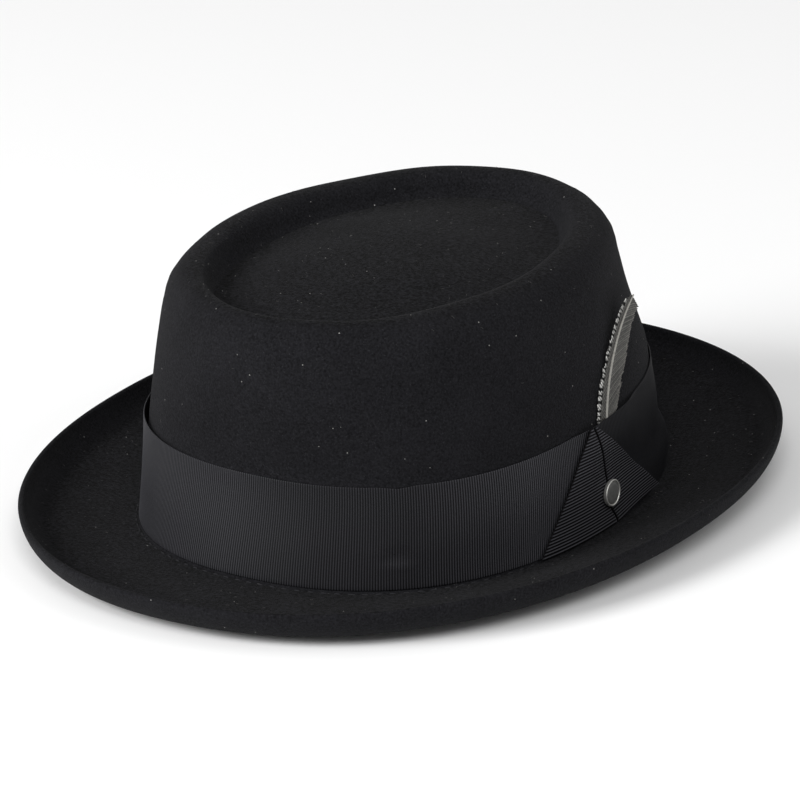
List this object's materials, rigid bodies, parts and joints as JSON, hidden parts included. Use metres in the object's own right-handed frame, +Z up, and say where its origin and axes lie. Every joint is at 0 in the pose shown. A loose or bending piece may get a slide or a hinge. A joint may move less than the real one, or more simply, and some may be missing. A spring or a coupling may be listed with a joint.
{
  "type": "porkpie hat",
  "caption": "Felt porkpie hat with a dented flat-topped crown, a rolled brim, a ribbon with a folded bow, a round stud and feathers.",
  "frame": {"origin": "middle of the brim's outline, on the surface that the hat rests on", "axes": "+Z up through the crown, -Y to the front of the hat, +X to the wearer's left, where the bow is"},
  "size_m": [0.2594, 0.2982, 0.099],
  "materials": {
    "felt": "black pressed wool felt with a fine short nap",
    "ribbon": "black grosgrain with crosswise ribs and a slight sheen",
    "stud": "dull nickel with a bright raised edge",
    "barred_feather": "white feather with black bars",
    "grey_feather": "grey feather with a pale quill"
  },
  "bodies": {
    "root": {"felt_body": "felt", "ribbon_band": "ribbon", "bow_fold_front": "ribbon", "bow_fold_rear": "ribbon", "stud_button": "stud", "feather_barred": "barred_feather", "feather_grey": "grey_feather"}
  },
  "joints": []
}
